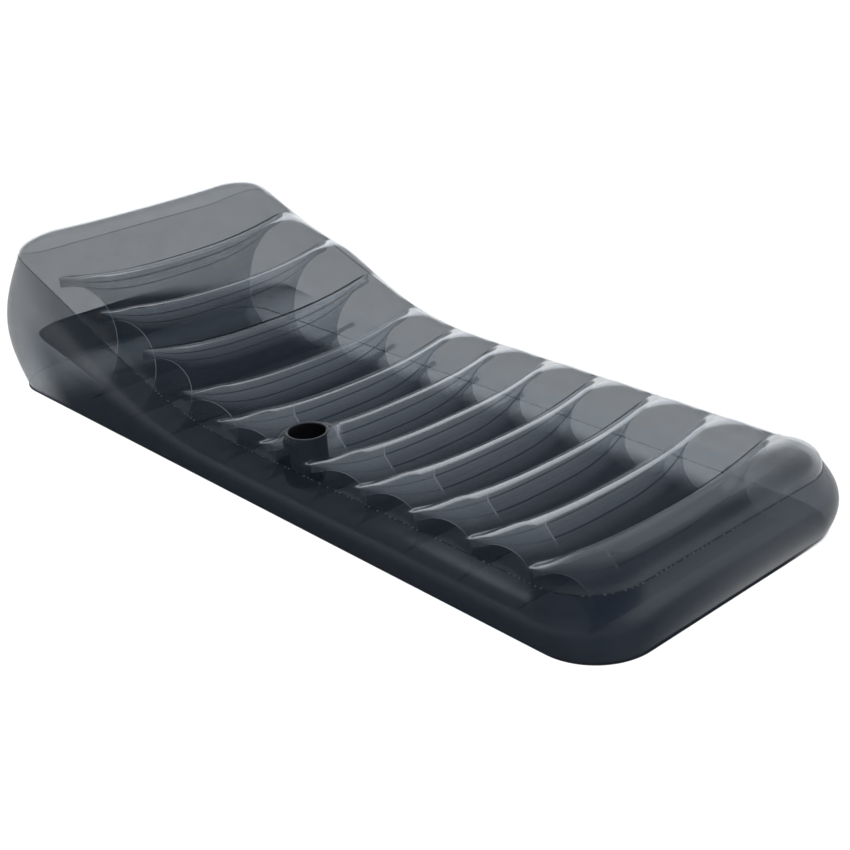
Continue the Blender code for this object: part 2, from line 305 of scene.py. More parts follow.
view = {
    "place": (2.098, -1.683, 1.251),
    "yaw": 49.0,
    "pitch": 24.53,
    "roll": 3.73,
    "focalPixels": 1458.9,
    "imagePixels": 850,
    "sensor": 36.0,
    "clipEnd": 100,
}

halfLength = body["baseLength"] / 2
halfWidth = body["baseWidth"] / 2
footX = halfLength - body["footInset"]
headX = -halfLength + body["headInset"]
weldXs = [halfLength - ribs["firstFromFoot"]]
for pitch in ribs["pitches"]:
    weldXs.append(weldXs[-1] - pitch)
weldTipY = halfWidth - ribs["endMargin"]
leaning = [ribs["pitches"][0]] + ribs["pitches"][:-web["upright"]]
leans = [pitch * web["leanShare"] for pitch in leaning] + [0.0] * web["upright"]
cupX = (weldXs[cup["rib"] - 1] + weldXs[cup["rib"]]) / 2 - cup["towardHead"]
cupY = -halfWidth + cup["fromSide"]
cupRimZ = body["seatHeight"] + cup["overSeam"]

# The frame puts the middle of the whole footprint at the origin, and the bottom sheet says where
low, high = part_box("bottom_sheet")
baseShift = (low[0] + high[0]) / 2


# Helpers for modelling


def clearSelection():
    if bpy.context.object and bpy.context.object.mode != "OBJECT":
        bpy.ops.object.mode_set(mode="OBJECT")
    bpy.ops.object.select_all(action="DESELECT")


def addGrid(name, columns, rows, place):
    # A flat grid whose corners (u, v) from 0 to 1 are moved to place(u, v)
    clearSelection()
    bpy.ops.mesh.primitive_grid_add(x_subdivisions=columns, y_subdivisions=rows, size=2.0)
    grid = bpy.context.object
    grid.name = name
    grid.data.name = name
    for vertex in grid.data.vertices:
        u = (vertex.co.x + 1) / 2
        v = (vertex.co.y + 1) / 2
        vertex.co = place(u, v)
    return grid


def finishMesh(piece, flip=False):
    clearSelection()
    piece.select_set(True)
    bpy.context.view_layer.objects.active = piece
    bpy.ops.object.mode_set(mode="EDIT")
    bpy.ops.mesh.select_all(action="SELECT")
    bpy.ops.mesh.remove_doubles(threshold=0.00005)
    bpy.ops.mesh.select_all(action="SELECT")
    if flip:
        bpy.ops.mesh.flip_normals()
    bpy.ops.mesh.select_all(action="DESELECT")
    bpy.ops.object.mode_set(mode="OBJECT")
    bpy.ops.object.shade_smooth()


def addAttribute(piece, name, values):
    layer = piece.data.attributes.new(name, "FLOAT", "POINT")
    layer.data.foreach_set("value", values)


def smoothStep(start, end, value):
    share = min(max((value - start) / (end - start), 0.0), 1.0)
    return share * share * (3 - 2 * share)


def fade(name, value):
    start, end = fades[name]
    return smoothStep(start, end, value)


def addAir(piece):
    # 1 where the film scatters light and throws no shadow. Over the near side of the head it falls
    # below 0, and the film's shadow is deep.
    cornerX, cornerY = film["shadowCorner"]
    depth = film["shadowDepth"]
    airs = []
    for vertex in piece.data.vertices:
        slant = film["shadowSlope"] * (vertex.co.y - cornerY) - (vertex.co.x - cornerX)
        free = max(fade("airX", vertex.co.x), fade("airSlant", slant))
        airs.append((1 + depth) * free - depth)
    addAttribute(piece, "air", airs)


# The lounger's form, the same as the frame's, with all its curves


def edgeWidth(x, toFoot, toHead, radius):
    inner = halfWidth - radius
    over = max(x - (toFoot - radius), (toHead + radius) - x, 0.0)
    return inner + math.sqrt(max(radius * radius - over * over, 0.0))


def topEdgeWidth(x):
    return edgeWidth(x, footX, headX, body["topCorner"])


def edgeDistance(x, y):
    radius = body["topCorner"]
    overX = abs(x - (footX + headX) / 2) - ((footX - headX) / 2 - radius)
    overY = abs(y) - (halfWidth - radius)
    outside = math.hypot(max(overX, 0.0), max(overY, 0.0)) + min(max(overX, overY), 0.0)
    return max(radius - outside, 0.0)


def seamHeight(x):
    along = body["bendX"] - x
    half = body["bendHalf"]
    if along <= -half:
        rise = 0.0
    elif along < half:
        rise = body["backSlope"] * (along + half) ** 2 / (4 * half)
    else:
        rise = body["backSlope"] * along
    past = max(body["headPeakX"] - x, 0.0) / (body["headPeakX"] - headX)
    return body["seatHeight"] + rise - body["headDrop"] * past * past


def shoulder(x, y):
    # How far the sheet has risen from its edge: the shoulder is wider at the head
    toHead = min(max((weldXs[-2] - x) / (weldXs[-2] - headX), 0.0), 1.0)
    width = ribs["shoulder"] + (ribs["pillowShoulder"] - ribs["shoulder"]) * toHead
    share = min(edgeDistance(x, y) / width, 1.0)
    return math.sqrt(1 - (1 - share) ** 2)


def ribEnd(x, y):
    # How much of a rib stands at y: it falls off past a fold near each end
    share = min((topEdgeWidth(x) - abs(y)) / ribs["endLength"], 1.0)
    turn = ribs["endTurn"]
    return math.sin(max(share, 0.0) * turn) / math.sin(turn)


def tipLift(x):
    bump = math.exp(-(((x - ribs["backTipX"]) / ribs["backTipSpread"]) ** 2))
    return ribs["tipLift"] + ribs["backTipLift"] * bump


def ribProfile(x):
    # How far the rib stands up at x, and how far an end cell has run out to the edge
    if x >= weldXs[0]:
        run = (x - weldXs[0]) / (footX - weldXs[0])
        return 1 - max(1 - 2 * run, 0.0) ** 2, run
    if x <= weldXs[-1]:
        run = (weldXs[-1] - x) / (weldXs[-1] - headX)
        return 1 - max(1 - 2 * run, 0.0) ** 2, run
    for toFoot, toHead in zip(weldXs, weldXs[1:]):
        if toHead <= x <= toFoot:
            run = (x - toHead) / (toFoot - toHead)
            return 1 - (2 * run - 1) ** 2, 0.0


def topHeight(x, y):
    profile, endRun = ribProfile(x)
    roundEdge = shoulder(x, y)
    across = min(abs(y) / weldTipY, 1.0)
    cradle = (1 - across ** ribs["cradlePower"]) * (1 - endRun)
    pillow = ribs["pillowHeight"] * math.sin(math.pi * endRun) if x < weldXs[-1] else 0.0
    weld = tipLift(x) * roundEdge - ribs["weldCradle"] * cradle
    fall = ribEnd(x, y) * (1 - endRun) + roundEdge * endRun
    rib = (ribs["height"] + pillow + ribs["endRise"] * across * across * (1 - endRun)) * fall
    rib += (ribs["weldCradle"] - ribs["crestCradle"]) * cradle
    pastTip = smoothStep(0, 1, max(abs(y) - weldTipY, 0.0) / (halfWidth - weldTipY))
    height = seamHeight(x) + weld + rib * (profile + (1 - profile) * pastTip)
    fromCup = math.hypot(x - cupX, y - cupY)
    level = 1 - smoothStep(cup["flatRadius"], cup["flatRadius"] + cup["blend"], fromCup)
    return height + (cupRimZ - height) * level


def stationX(u):
    # Rows along the lounger, closer together at both ends where the corners turn
    ease = mesh["endShare"]
    if u < ease:
        t = math.pi / 2 * u / ease
        return headX + body["topCorner"] * (1 - math.cos(t))
    if u > 1 - ease:
        t = math.pi / 2 * (1 - u) / ease
        return footX - body["topCorner"] * (1 - math.cos(t))
    start = headX + body["topCorner"]
    end = footX - body["topCorner"]
    return start + (end - start) * (u - ease) / (1 - 2 * ease)


def acrossShare(v):
    # Columns across, closer together towards the sides
    s = 2 * v - 1
    crowding = mesh["sideCrowding"]
    return (1 - crowding) * s + crowding * math.sin(math.pi / 2 * s)


def topPoint(u, v):
    x = stationX(u)
    y = acrossShare(v) * topEdgeWidth(x)
    return Vector((x + baseShift, y, topHeight(x, y)))


def wallPoint(x, share, down):
    # down runs from 0 at the top weld to 1 at the bottom weld
    along = (x - headX) / (footX - headX)
    baseX = -halfLength + body["baseLength"] * along
    top = Vector((x, share * topEdgeWidth(x), seamHeight(x)))
    baseY = share * edgeWidth(baseX, halfLength, -halfLength, body["baseCorner"])
    foot = Vector((baseX, baseY, body["baseZ"]))
    innerX = halfLength - body["baseCorner"]
    innerY = halfWidth - body["baseCorner"]
    centre = Vector((min(max(baseX, -innerX), innerX), min(max(baseY, -innerY), innerY), 0))
    outward = Vector((baseX - centre.x, baseY - centre.y, 0)).normalized()
    endBulge = body["headBulge"] if outward.x < 0 else body["footBulge"]
    bulge = body["sideBulge"] + (endBulge - body["sideBulge"]) * abs(outward.x)
    point = top.lerp(foot, down) + outward * bulge * math.sin(math.pi * down)
    return point + Vector((baseShift, 0, 0))


def wallLoop():
    # Places (x, share across) round the edge, at the top sheet's own edge points
    xs = [stationX(k / mesh["alongX"]) for k in range(mesh["alongX"] + 1)]
    shares = [acrossShare(k / mesh["across"]) for k in range(mesh["across"] + 1)]
    loop = [(x, -1.0) for x in xs]
    loop += [(xs[-1], share) for share in shares[1:-1]]
    loop += [(x, 1.0) for x in reversed(xs)]
    loop += [(xs[0], share) for share in reversed(shares[1:-1])]
    loop.append(loop[0])
    return loop


# Materials: a socket that takes part in sums, and a class that adds every other node


class Maths:
    def __init__(self, tree, socket):
        self.tree = tree
        self.socket = socket

    def work(self, operation, *values):
        node = self.tree.nodes.new("ShaderNodeMath")
        node.operation = operation
        for slot, value in zip(node.inputs, values):
            if isinstance(value, Maths):
                self.tree.links.new(value.socket, slot)
            else:
                slot.default_value = value
        return Maths(self.tree, node.outputs[0])

    def __add__(self, other):
        return self.work("ADD", self, other)

    def __sub__(self, other):
        return self.work("SUBTRACT", self, other)

    def __rsub__(self, other):
        return self.work("SUBTRACT", other, self)

    def __mul__(self, other):
        return self.work("MULTIPLY", self, other)

    def __truediv__(self, other):
        return self.work("DIVIDE", self, other)

    def __pow__(self, other):
        return self.work("POWER", self, other)

    def __lt__(self, other):
        return self.work("LESS_THAN", self, other)

    def __gt__(self, other):
        return self.work("GREATER_THAN", self, other)

    def __abs__(self):
        return self.work("ABSOLUTE", self)

    def fraction(self):
        return self.work("FRACT", self)

    def clamp(self):
        node = self.tree.nodes.new("ShaderNodeClamp")
        self.tree.links.new(self.socket, node.inputs[0])
        return Maths(self.tree, node.outputs[0])


class Graph:
    def __init__(self, tree):
        self.tree = tree

    def node(self, kind, settings=(), **sockets):
        made = self.tree.nodes.new(kind)
        for key, value in dict(settings).items():
            setattr(made, key, value)
        for key, value in sockets.items():
            self.feed(made.inputs[key.replace("_", " ")], value)
        return made

    def feed(self, slot, value):
        if isinstance(value, Maths):
            value = value.socket
        if isinstance(value, bpy.types.NodeSocket):
            self.tree.links.new(value, slot)
        else:
            slot.default_value = value

    def mixColour(self, share, first, second, blend="MIX"):
        made = self.node("ShaderNodeMix", {"data_type": "RGBA", "blend_type": blend})
        self.feed(made.inputs[0], share)
        self.feed(made.inputs[6], first)
        self.feed(made.inputs[7], second)
        return made.outputs[2]

    def lightPath(self, kind):
        return Maths(self.tree, self.node("ShaderNodeLightPath").outputs[kind])


class Finish(Graph):
    def __init__(self, name):
        self.material = bpy.data.materials.new(name)
        self.material.use_nodes = True
        super().__init__(self.material.node_tree)
        self.shader = self.tree.nodes["Principled BSDF"]

    def set(self, **sockets):
        for key, value in sockets.items():
            self.feed(self.shader.inputs[key.replace("_", " ")], value)

    def attribute(self, name):
        made = self.node("ShaderNodeAttribute", {"attribute_name": name})
        return Maths(self.tree, made.outputs["Fac"])

    def noise(self, scale, detail):
        place = self.node("ShaderNodeTexCoord").outputs["Object"]
        made = self.node("ShaderNodeTexNoise", Vector=place, Scale=scale, Detail=detail)
        return Maths(self.tree, made.outputs[0])

    def haze(self):
        # A faint unevenness of the film, from about -0.5 to 0.5
        return self.noise(film["hazeScale"], 1.0) - 0.5

    def grain(self):
        return self.noise(opaque["grainScale"], opaque["grainDetail"])

    def bump(self, height, strength, distance):
        made = self.node("ShaderNodeBump", Height=height, Strength=strength, Distance=distance)
        self.feed(self.shader.inputs["Normal"], made.outputs[0])

    def seeThrough(self, share, coat, coatRoughness):
        # What the film lets through takes a faint blue tint. Where its air attribute is 1 the film
        # scatters the light that passes, so it throws no shadow of its own.
        clear = self.node("ShaderNodeBsdfTransparent", Color=film["through"])
        both = self.tree.nodes.new("ShaderNodeMixShader")
        facing = Maths(self.tree, self.node("ShaderNodeLayerWeight", Blend=0.5).outputs["Facing"])
        graze = facing ** film["grazePower"] * coat
        lit = 1 - self.lightPath("Is Shadow Ray") * self.attribute("air")
        self.shader.inputs["IOR"].default_value = film["ior"]
        self.feed(self.shader.inputs["Coat Weight"], coat)
        self.shader.inputs["Coat Roughness"].default_value = coatRoughness
        self.feed(both.inputs[0], (share + (1 - share) * graze) * lit)
        self.tree.links.new(clear.outputs[0], both.inputs[1])
        self.tree.links.new(self.shader.outputs[0], both.inputs[2])
        self.tree.links.new(both.outputs[0], self.tree.nodes["Material Output"].inputs[0])


def makeFilm(name, specular, coatRoughness):
    # Each sheet says how dense it is in its share attribute, how shiny in its gloss attribute, and
    # how far its weld lines are in its weld attribute
    finish = Finish(name)
    line = finish.attribute("weld") < film["weldHalfWidth"]
    gloss = finish.attribute("gloss")
    haze = finish.haze()
    dull = (1 - gloss) * film["dullRoughness"]
    finish.shader.inputs["Specular IOR Level"].default_value = specular
    finish.set(
        Base_Color=finish.mixColour(line, film["tint"], film["weldTint"]),
        Roughness=haze * film["hazeRoughness"] + dull + film["roughness"],
    )
    waves = finish.noise(film["waveScale"], 1.0)
    finish.bump(waves, film["waveStrength"], film["waveHeight"])
    plain = haze * film["hazeAlpha"] + finish.attribute("share")
    share = (plain + line * (film["weldAlpha"] - plain)).clamp()
    finish.seeThrough(share, gloss, coatRoughness)
    return finish.material


def makeWebFilm():
    finish = Finish("webFilm")
    hang = finish.attribute("hang")
    past = finish.attribute("paintedSheen")
    high = finish.attribute("high")
    haze = finish.haze()
    # Painted highlight: a pale line along the web's cut edge, which fades out low on the web
    rim = (finish.attribute("rim") < webFilm["rimWidth"]) * finish.attribute("upper")
    # Painted sheen: the near ends of the webs are painted lighter, with a pale line where the sheen
    # starts
    paintedSheenEdge = (abs(past) < webFilm["rimWidth"]) * high
    paintedSheen = (past > 0) * high
    fold = (abs(hang - 1) < webFilm["firstFold"]) + (abs(hang - 2) < webFilm["secondFold"])
    line = (rim * webFilm["rimLight"] + paintedSheenEdge * webFilm["paintedSheenEdgeLight"]).clamp()
    # Painted light: the web is paler near the top sheet and darker further down, with painted shade
    # along the folds
    lit = (1 - hang / webFilm["litDepth"]).clamp() * (1 - fold.clamp() * webFilm["foldShade"])
    lit = (lit + paintedSheen * webFilm["paintedSheenLight"]).clamp()
    plain = finish.mixColour(lit, webFilm["tint"], webFilm["litTint"])
    finish.set(
        Base_Color=finish.mixColour(line, plain, webFilm["rimHighlight"]),
        Roughness=haze * film["hazeRoughness"] + webFilm["roughness"],
    )
    share = line * (webFilm["rimAlpha"] - webFilm["alpha"]) + webFilm["alpha"]
    share = share + fold * (webFilm["foldAlpha"] - webFilm["alpha"]) + haze * film["hazeAlpha"]
    finish.seeThrough(share.clamp(), 0.0, film["coatRoughness"])
    return finish.material


def makeOpaque(name, colour, roughness):
    finish = Finish(name)
    grain = finish.grain()
    scale, lift = opaque["paleScale"], opaque["paleLift"]
    pale = tuple(min(channel * scale + lift, 1) for channel in colour[:3]) + (1,)
    finish.set(
        Base_Color=finish.mixColour(grain, colour, pale),
        Roughness=grain * opaque["grainRoughness"] + roughness,
    )
    finish.bump(grain, opaque["grainBump"], opaque["grainHeight"])
    return finish.material


def makeCupFinish():
    finish = Finish("cupVinyl")
    # Painted shade: the cup is darker inside than outside
    inside = finish.attribute("inside")
    finish.set(
        Base_Color=finish.mixColour(inside, opaque["cupOutside"], opaque["cupInsideShade"]),
        Roughness=finish.grain() * opaque["grainRoughness"] + opaque["cupRoughness"],
    )
    return finish.material


def makeBottomSeamFinish():
    # The weld's edge is black on the near side, and fades out on the far side and at the head end,
    # where it is seen through the film
    finish = Finish("bottomSeamVinyl")
    dark, pale = seamVinyl["bottomDark"], seamVinyl["bottomPale"]
    finish.set(
        Base_Color=finish.mixColour(finish.grain(), dark, pale),
        Roughness=seamVinyl["bottomRoughness"],
        Alpha=1 - finish.attribute("far") * seamVinyl["bottomFarFade"],
    )
    return finish.material


def makeTopSeamFinish():
    # Pale stitches of the weld wheel on a dark flange, which throws a shadow on the near side only
    finish = Finish("topSeamVinyl")
    phase = (finish.attribute("along") / seamVinyl["dashLength"]).fraction()
    worn = finish.noise(seamVinyl["wornScale"], 1.0) > seamVinyl["wornShare"]
    dash = (phase < seamVinyl["dashShare"]) * worn
    lit = 1 - finish.lightPath("Is Shadow Ray") * finish.attribute("far")
    finish.set(
        Base_Color=finish.mixColour(dash, seamVinyl["topDark"], seamVinyl["topPale"]),
        Roughness=dash * seamVinyl["dashRoughness"] + seamVinyl["topRoughness"],
        Alpha=(dash * seamVinyl["dashAlpha"] + seamVinyl["topAlpha"]) * lit,
    )
    return finish.material


def dress(piece, material, *nodes, slot="smoke_vinyl"):
    piece.data.materials.clear()
    piece.data.materials.append(material)
    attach(piece, "lounger")
    if nodes:
        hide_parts(*nodes)


# The pieces


def cutRound(sheet, centre, axis, radius):
    # A clean round hole: the faces inside go, and the ragged edge is drawn onto the circle. Only
    # what is near the centre is touched, so the far side of the lounger stays whole.
    deepest = 0.03
    widest = radius * 1.6
    clearSelection()
    sheet.select_set(True)
    bpy.context.view_layer.objects.active = sheet
    form = bmesh.new()
    form.from_mesh(sheet.data)

    def away(point):
        offset = point - centre
        return (offset - axis * offset.dot(axis)).length, abs(offset.dot(axis))

    inside = []
    for face in form.faces:
        flat, deep = away(face.calc_center_median())
        if flat < radius and deep < deepest:
            inside.append(face)
    bmesh.ops.delete(form, geom=inside, context="FACES")
    for edge in form.edges:
        if edge.is_boundary:
            for vertex in edge.verts:
                flat, deep = away(vertex.co)
                if flat < widest and deep < deepest:
                    offset = vertex.co - centre
                    along = axis * offset.dot(axis)
                    ring = offset - along
                    vertex.co = centre + along + ring.normalized() * radius
    form.to_mesh(sheet.data)
    form.free()


def makeTopSheet(material):
    sheet = addGrid("topSheet", mesh["alongX"], mesh["across"], topPoint)
    finishMesh(sheet)
    mouth = Vector((cupX + baseShift, cupY, cupRimZ))
    cutRound(sheet, mouth, Vector((0, 0, 1)), cup["radius"] + cup["holeGap"])
    distances = []
    shares = []
    glosses = []
    for vertex in sheet.data.vertices:
        spot = vertex.co
        fromWeld = min(abs(spot.x - baseShift - weldX) for weldX in weldXs)
        past = max(abs(spot.y) - weldTipY + film["weldTipLength"], 0.0) * film["weldTipTaper"]
        distances.append(math.hypot(fromWeld, past))
        # Painted shade: over the foot end's near side and middle the film is denser, so darker, and
        # duller
        foot = fade("topFootX", spot.x) * (1 - fade("topFootY", spot.y))
        shares.append(film["topAlpha"] + foot * (film["footAlpha"] - film["topAlpha"]))
        fromCup = math.hypot(spot.x - baseShift - cupX, spot.y - cupY)
        gloss = film["cupGloss"] + (1 - film["cupGloss"]) * fade("topCup", fromCup)
        glosses.append(gloss * (1 - film["footDull"] * foot))
    addAttribute(sheet, "weld", distances)
    addAir(sheet)
    addAttribute(sheet, "share", shares)
    addAttribute(sheet, "gloss", glosses)
    dress(sheet, material, "top_sheet")


def makeSideWall(material):
    loop = wallLoop()

    def place(u, v):
        x, share = loop[round(u * (len(loop) - 1))]
        return wallPoint(x, share, 1 - v)

    wall = addGrid("sideWall", len(loop) - 1, mesh["wallRows"], place)
    finishMesh(wall)
    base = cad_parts["valve_base"].matrix_world
    cutRound(wall, base.translation.copy(), base.col[2].to_3d().normalized(), valve["holeRadius"])
    addAttribute(wall, "weld", [1.0] * len(wall.data.vertices))
    addAttribute(wall, "air", [1.0] * len(wall.data.vertices))
    shares = []
    glosses = []
    for vertex in wall.data.vertices:
        spot = vertex.co
        # Painted light and shade: the wall is clearer, so lighter, at the head and on the far side
        # but for the foot's far corner, and denser, so darker, on the near side
        head = 1 - fade("wallHeadX", spot.x)
        foot = fade("wallFootX", spot.x) * fade("wallFootY", spot.y)
        far = fade("wallFarY", spot.y)
        upper = fade("wallUpperShare", spot.z / seamHeight(spot.x - baseShift))
        paintedLight = max(head, far * (1 - fade("wallFarX", spot.x)))
        shares.append(film["wallAlpha"] + paintedLight * (film["headWallAlpha"] - film["wallAlpha"]))
        glosses.append(film["wallGloss"] * max(head, foot, far, upper))
    addAttribute(wall, "share", shares)
    addAttribute(wall, "gloss", glosses)
    dress(wall, material, "side_wall")


def makeBottomSheet(material):
    def place(u, v):
        return wallPoint(stationX(u), acrossShare(v), 1.0)

    sheet = addGrid("bottomSheet", mesh["alongX"], mesh["bottomAcross"], place)
    finishMesh(sheet, flip=True)
    footXs = [weldX + lean for weldX, lean in zip(weldXs, leans)]
    distances = []
    shares = []
    for vertex in sheet.data.vertices:
        spot = vertex.co
        fromWeld = min(abs(spot.x - baseShift - weldX) for weldX in footXs)
        past = max(abs(spot.y) - web["footHalfWidth"], 0.0)
        distances.append(math.hypot(fromWeld, past))
        # Painted light and shade: the bottom sheet is clearer along the far side and at the head,
        # so the floor under it looks lit, and denser, so darker, elsewhere
        far = fade("bottomFarY", spot.y) * (1 - fade("bottomFarX", spot.x))
        paintedLight = max(far, 1 - fade("bottomHeadX", spot.x))
        shares.append(film["bottomAlpha"] + paintedLight * (film["farAlpha"] - film["bottomAlpha"]))
    addAttribute(sheet, "weld", distances)
    addAttribute(sheet, "share", shares)
    addAttribute(sheet, "gloss", [0.0] * len(shares))
    dress(sheet, material, "bottom_sheet")


def makeWebs(material):
    footZ = web["footZ"]
    neckY = weldTipY - web["tabLength"]
    cutRows = mesh["webRows"] - web["tabRows"]
    for number, weldX in enumerate(weldXs, start=1):
        tipZ = topHeight(weldX, weldTipY) - web["underTop"]
        neckZ = tipZ - web["tabDepth"]
        cutHeight = (neckZ - footZ) / 2
        cutDepth = web["cutDepth"] + 2 * web["cutShare"] * cutHeight
        lean = leans[number - 1]
        looks = {"rim": [], "hang": [], "paintedSheen": [], "high": [], "upper": []}

        def place(u, v):
            # The upper rows are the tabs, and the rows below follow the round cut at each end
            row = round(v * mesh["webRows"])
            side = 2 * u - 1
            if row > cutRows:
                share = (row - cutRows - 1) / (web["tabRows"] - 1)
                y = side * weldTipY
                topZ = topHeight(weldX, y) - web["underTop"]
                lowZ = min(neckZ + web["underNeck"], topZ - web["tabLeast"])
                point = Vector((weldX + baseShift, y, lowZ + (topZ - lowZ) * share))
                rim = 1.0 if share > 0.5 else max(neckY - abs(y), 0.0) + web["tabLeast"]
            else:
                angle = math.pi * (1 - row / cutRows)
                straight = neckY + (web["footHalfWidth"] - neckY) * angle / math.pi
                half = straight - cutDepth * math.sin(angle)
                y = side * half
                z = (neckZ + footZ) / 2 + cutHeight * math.cos(angle)
                droop = topHeight(weldX, y) - tipZ
                rise = (z - footZ) / (neckZ - footZ)
                point = Vector((weldX + lean * (1 - rise) + baseShift, y, z + droop * rise))
                rim = half * (1 - abs(side))
            across = min(abs(y) / weldTipY, 1.0)
            fold = webFilm["foldDepth"] * (1 - across ** webFilm["foldPower"])
            deep = topHeight(weldX, y) - web["underTop"] - point.z
            looks["rim"].append(rim)
            looks["hang"].append(deep / (fold + webFilm["foldLeast"]))
            # Where the painted sheen lies: on the near ends, high up, of the first webs from the
            # foot
            looks["paintedSheen"].append(-y - webFilm["paintedSheenY"])
            looks["high"].append(fade("webSheenZ", point.z) * (number <= webFilm["paintedSheenWebs"]))
            looks["upper"].append(fade("webUpperZ", point.z))
            return point

        piece = addGrid(f"web{number:02d}", mesh["webAcross"], mesh["webRows"], place)
        for name, values in looks.items():
            addAttribute(piece, name, values)
        finishMesh(piece)
        dress(piece, material, f"i_beam_{number:02d}", slot="web_vinyl")


def spinProfile(name, profile):
    # A closed outline of (radius, height) points spun round the cup's axis
    clearSelection()
    bpy.ops.mesh.primitive_circle_add(vertices=len(profile), radius=1.0)
    piece = bpy.context.object
    piece.name = name
    for vertex, (radius, height) in zip(piece.data.vertices, profile):
        vertex.co = (radius, 0, height)
    bpy.ops.object.mode_set(mode="EDIT")
    bpy.ops.mesh.select_all(action="SELECT")
    bpy.ops.mesh.spin(
        steps=cup["steps"], angle=2 * math.pi, center=(0, 0, 0), axis=(0, 0, 1)
    )
    bpy.ops.mesh.select_all(action="SELECT")
    bpy.ops.mesh.remove_doubles(threshold=0.00002)
    bpy.ops.mesh.normals_make_consistent(inside=False)
    bpy.ops.object.mode_set(mode="OBJECT")
    bpy.ops.object.shade_smooth_by_angle(angle=math.radians(45))
    return piece


def makeCup(cupMaterial, ringMaterial):
    radius = cup["radius"]
    outer = radius + cup["wall"]
    corner = cup["corner"]
    rim = cupRimZ + cup["gap"]
    floorZ = rim - cup["depth"]
    innerZ = floorZ + cup["innerFloor"]
    turns = [math.pi / 2 * k / cup["cornerSteps"] for k in range(1, cup["cornerSteps"] + 1)]
    profile = [(0, floorZ), (outer - corner, floorZ)]
    for turn in turns:
        reach = corner * math.sin(turn)
        profile.append((outer - corner + reach, floorZ + corner - corner * math.cos(turn)))
    profile += [(outer, rim), (radius, rim), (radius, innerZ)]
    for turn in turns:
        reach = corner * math.cos(turn)
        profile.append((radius - corner + reach, innerZ - corner * math.sin(turn)))
    profile.append((0, floorZ + cup["wall"]))
    holder = spinProfile("cupHolder", profile)

    near = outer + cup["gap"]
    far = outer + cup["ringWidth"]
    top = rim + cup["ringThickness"]
    inward, downward = cup["ringBevel"]
    ring = spinProfile("cupRing", [
        (near, rim),
        (far, rim),
        (far, top - downward),
        (far - inward, top),
        (near + inward, top),
        (near, top - downward),
    ])
    insides = []
    for vertex in holder.data.vertices:
        insides.append(float(math.hypot(vertex.co.x, vertex.co.y) < radius + cup["wall"] / 4))
    addAttribute(holder, "inside", insides)
    for piece in (holder, ring):
        piece.data.transform(Matrix.Translation((cupX + baseShift, cupY, 0)))
    dress(holder, cupMaterial, "cup_holder", slot="black_vinyl")
    dress(ring, ringMaterial, "cup_ring", slot="valve_vinyl")


def makeSeam(name, down, width, material):
    # The flange where two sheets are welded, a flat band that stands out round the edge
    loop = wallLoop()
    points = [wallPoint(x, share, down) for x, share in loop[:-1]]
    count = len(points)
    corners = [(0, 0), (0, 1), (1, 1), (1, 0), (0, 0)]

    def place(u, v):
        k = round(u * count) % count
        tangent = points[(k + 1) % count] - points[k - 1]
        outward = Vector((tangent.y, -tangent.x, 0)).normalized()
        reach, lift = corners[round(v * 4)]
        rise = Vector((0, 0, (lift - 0.5) * seams["thickness"]))
        return points[k] + outward * (reach * width - seams["inset"]) + rise

    band = addGrid(name, count, 4, place)
    lengths = [0.0]
    for here, there in zip(points, points[1:]):
        lengths.append(lengths[-1] + (there - here).length)
    alongs = []
    fars = []
    for vertex in band.data.vertices:
        alongs.append(lengths[round((vertex.index % (count + 1))) % count])
        fars.append(max(fade("seamFarY", vertex.co.y), 1 - fade("seamHeadX", vertex.co.x)))
    addAttribute(band, "along", alongs)
    addAttribute(band, "far", fars)
    finishMesh(band)
    lowest = min(vertex.co.z for vertex in band.data.vertices)
    if lowest < seams["lowest"]:
        band.data.transform(Matrix.Translation((0, 0, seams["lowest"] - lowest)))
    dress(band, material)


def paintValve(material, plugMaterial):
    paints = {
        "valve_base": material,
        "valve_stem": material,
        "valve_plug": plugMaterial,
        "valve_flap": plugMaterial,
    }
    for name, paint in paints.items():
        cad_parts[name].data.materials.clear()
        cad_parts[name].data.materials.append(paint)


# The studio


def makeCamera():
    yaw, pitch, roll = (math.radians(view[key]) for key in ("yaw", "pitch", "roll"))
    level = Vector((-math.sin(yaw), math.cos(yaw), 0))
    forward = level * math.cos(pitch) - Vector((0, 0, math.sin(pitch)))
    right = Vector((math.cos(yaw), math.sin(yaw), 0))
    down = forward.cross(right)
    turnedRight = right * math.cos(roll) + down * math.sin(roll)
    turnedDown = down * math.cos(roll) - right * math.sin(roll)
    data = bpy.data.cameras.new("camera")
    camera = bpy.data.objects.new("camera", data)
    bpy.context.scene.collection.objects.link(camera)
    turn = Matrix((turnedRight, -turnedDown, -forward)).transposed().to_4x4()
    place = Vector(view["place"]) + Vector((baseShift, 0, 0))
    camera.matrix_world = Matrix.Translation(place) @ turn
    data.sensor_width = view["sensor"]
    data.lens = view["focalPixels"] / view["imagePixels"] * view["sensor"]
    data.clip_end = view["clipEnd"]
    bpy.context.scene.camera = camera


def makeFloor():
    clearSelection()
    place = (0, 0, studio["floorZ"])
    bpy.ops.mesh.primitive_plane_add(size=studio["floorSize"], location=place)
    floor = bpy.context.object
    floor.name = "floor"
    finish = Finish("floorFinish")
    finish.set(Base_Color=studio["floorColour"], Roughness=studio["floorRoughness"])
    finish.shader.inputs["Specular IOR Level"].default_value = 0.0
    floor.data.materials.append(finish.material)


def addLight(name, kind, energy):
    data = bpy.data.lights.new(name, kind)
    data.energy = energy
    lamp = bpy.data.objects.new(name, data)
    bpy.context.scene.collection.objects.link(lamp)
    return lamp


def facing(direction):
    return direction.to_track_quat("Z", "Y").to_matrix().to_4x4()


